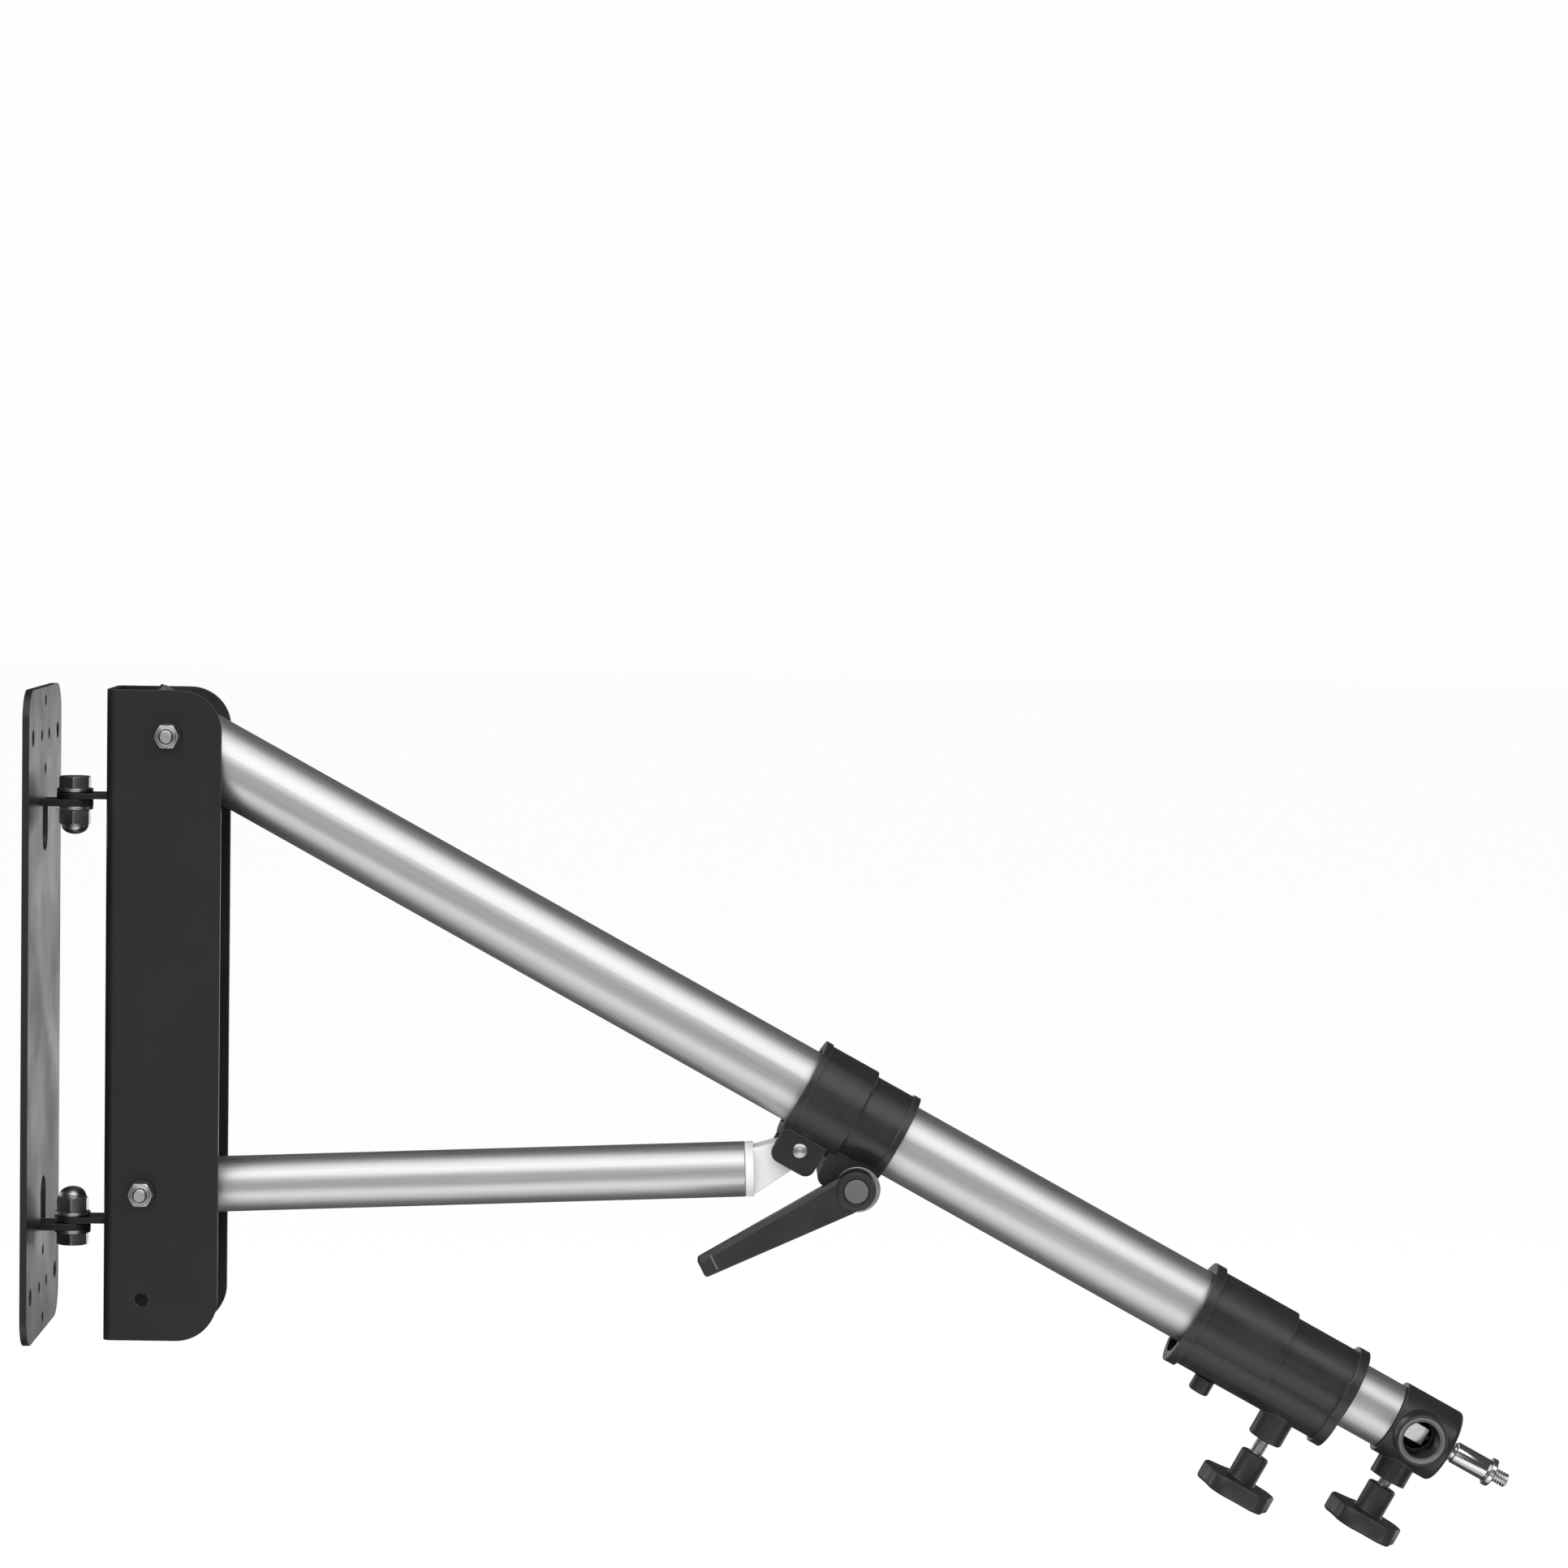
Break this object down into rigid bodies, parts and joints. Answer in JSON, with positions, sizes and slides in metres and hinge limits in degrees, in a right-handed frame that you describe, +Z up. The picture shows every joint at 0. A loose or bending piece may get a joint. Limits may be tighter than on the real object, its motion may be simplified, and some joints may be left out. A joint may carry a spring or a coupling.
{
  "type": "wall boom arm",
  "caption": "Wall-mounted triangle boom arm: a swinging channel bracket, a telescoping boom held by a strut and sliding collar, and a clamping head with a threaded spigot.",
  "frame": {"origin": "centre of the wall plate's back face", "axes": "+X out of the wall, +Z up; the boom, strut and channel lie in the XZ plane, and the lever and side receiver face -Y"},
  "size_m": [0.6546, 0.1, 0.3762],
  "materials": {
    "black_coat": "satin black powder coat on steel sheet",
    "zinc": "bright zinc plate",
    "anodised": "satin silver anodised tube",
    "black_cast": "satin black painted die casting",
    "black_plastic": "satin black moulded nylon",
    "white_plastic": "off-white moulded nylon",
    "natural_nylon": "natural nylon",
    "nickel": "bright nickel plate",
    "brass": "turned brass",
    "grey_cap": "dark grey moulded cap"
  },
  "bodies": {
    "wall": {"wall_plate": "black_coat", "hinge_bolts": "zinc", "hinge_nuts": "zinc", "hinge_washers": "zinc"},
    "bracket": {"bracket_channel": "black_coat", "boom_pivot_bolt": "zinc", "boom_pivot_nut": "zinc", "strut_pivot_bolt": "zinc", "strut_pivot_nut": "zinc", "flange_washers": "black_coat", "thrust_washers": "natural_nylon", "strut_spacers": "black_plastic"},
    "boom": {"outer_tube": "anodised", "boom_tail_plug": "black_plastic", "pivot_sleeve": "zinc", "telescope_collar": "black_cast", "collar_fixing_screw": "black_cast", "collar_insert": "brass"},
    "slider": {"slider_collar": "black_cast", "slider_liner": "natural_nylon", "strut_pin_rivet": "zinc", "clamp_bolt": "zinc", "clamp_washer": "zinc"},
    "lever": {"lever_handle": "black_plastic", "lever_washer": "zinc", "lever_nut": "zinc", "lever_cap": "grey_cap"},
    "strut": {"strut_tube": "anodised", "strut_nose": "white_plastic", "strut_tail": "white_plastic"},
    "guide": {"inner_guide_bush": "natural_nylon"},
    "extension": {"inner_tube": "anodised", "inner_tail_cap": "black_plastic", "head_socket": "black_cast", "head_insert": "brass"},
    "collar_shoe": {"collar_pad": "brass"},
    "collar_grip": {"collar_screw": "zinc", "collar_knob": "black_plastic"},
    "head_shoe": {"head_pad": "brass"},
    "head_grip": {"head_screw": "zinc", "head_knob": "black_plastic"},
    "spigot": {"spigot": "nickel"}
  },
  "joints": [
    {"name": "bracket_pan", "type": "hinge", "parent": "wall", "child": "bracket", "pos_m": [0.0161, 0, 0], "axis": [0, 0, 1], "range_deg": [-55, 55]},
    {"name": "boom_tilt", "type": "hinge", "parent": "bracket", "child": "boom", "pos_m": [0.059, 0, 0.1225], "axis": [0, 1, 0], "range_deg": [-15, 20]},
    {"name": "slider_travel", "type": "slide", "parent": "boom", "child": "slider", "axis": [0.8776, 0, -0.4795], "range_m": [-0.0605, 0.0805]},
    {"name": "strut_swing", "type": "hinge", "parent": "slider", "child": "strut", "pos_m": [0.33643, 0, -0.05653], "axis": [0, 1, 0], "range_deg": [-6, 8]},
    {"name": "lever_turn", "type": "hinge", "parent": "slider", "child": "lever", "pos_m": [0.36109, 0, -0.07229], "axis": [0, -1, 0], "range_deg": [0, 95]},
    {"name": "boom_extend", "type": "slide", "parent": "boom", "child": "guide", "axis": [0.8776, 0, -0.4795], "range_m": [-0.018, 0.44]},
    {"name": "head_twist", "type": "hinge", "parent": "guide", "child": "extension", "pos_m": [0.08533, 0, 0.10812], "axis": [0.8776, 0, -0.4795], "continuous": true},
    {"name": "collar_shoe_travel", "type": "slide", "parent": "boom", "child": "collar_shoe", "axis": [-0.4795, 0, -0.8776], "range_m": [0, 0.0015]},
    {"name": "collar_knob_turn", "type": "hinge", "parent": "collar_shoe", "child": "collar_grip", "pos_m": [0.54119, 0, -0.19108], "axis": [-0.4795, 0, -0.8776], "range_deg": [-3, 550]},
    {"name": "head_shoe_travel", "type": "slide", "parent": "extension", "child": "head_shoe", "axis": [-0.4795, 0, -0.8776], "range_m": [0, 0.0015]},
    {"name": "head_knob_turn", "type": "hinge", "parent": "head_shoe", "child": "head_grip", "pos_m": [0.59811, 0, -0.20474], "axis": [-0.4795, 0, -0.8776], "range_deg": [-3, 550]},
    {"name": "spigot_release", "type": "slide", "parent": "extension", "child": "spigot", "axis": [0.8776, 0, -0.4795], "range_m": [0, 0.036]}
  ],
  "couplings": [
    {"joint": "slider_travel", "follows": "boom_tilt", "m_per_rad": 0.2279},
    {"joint": "strut_swing", "follows": "boom_tilt", "ratio": 0.3742},
    {"joint": "collar_knob_turn", "follows": "collar_shoe_travel", "rad_per_m": 6283.2},
    {"joint": "head_knob_turn", "follows": "head_shoe_travel", "rad_per_m": 6283.2}
  ]
}
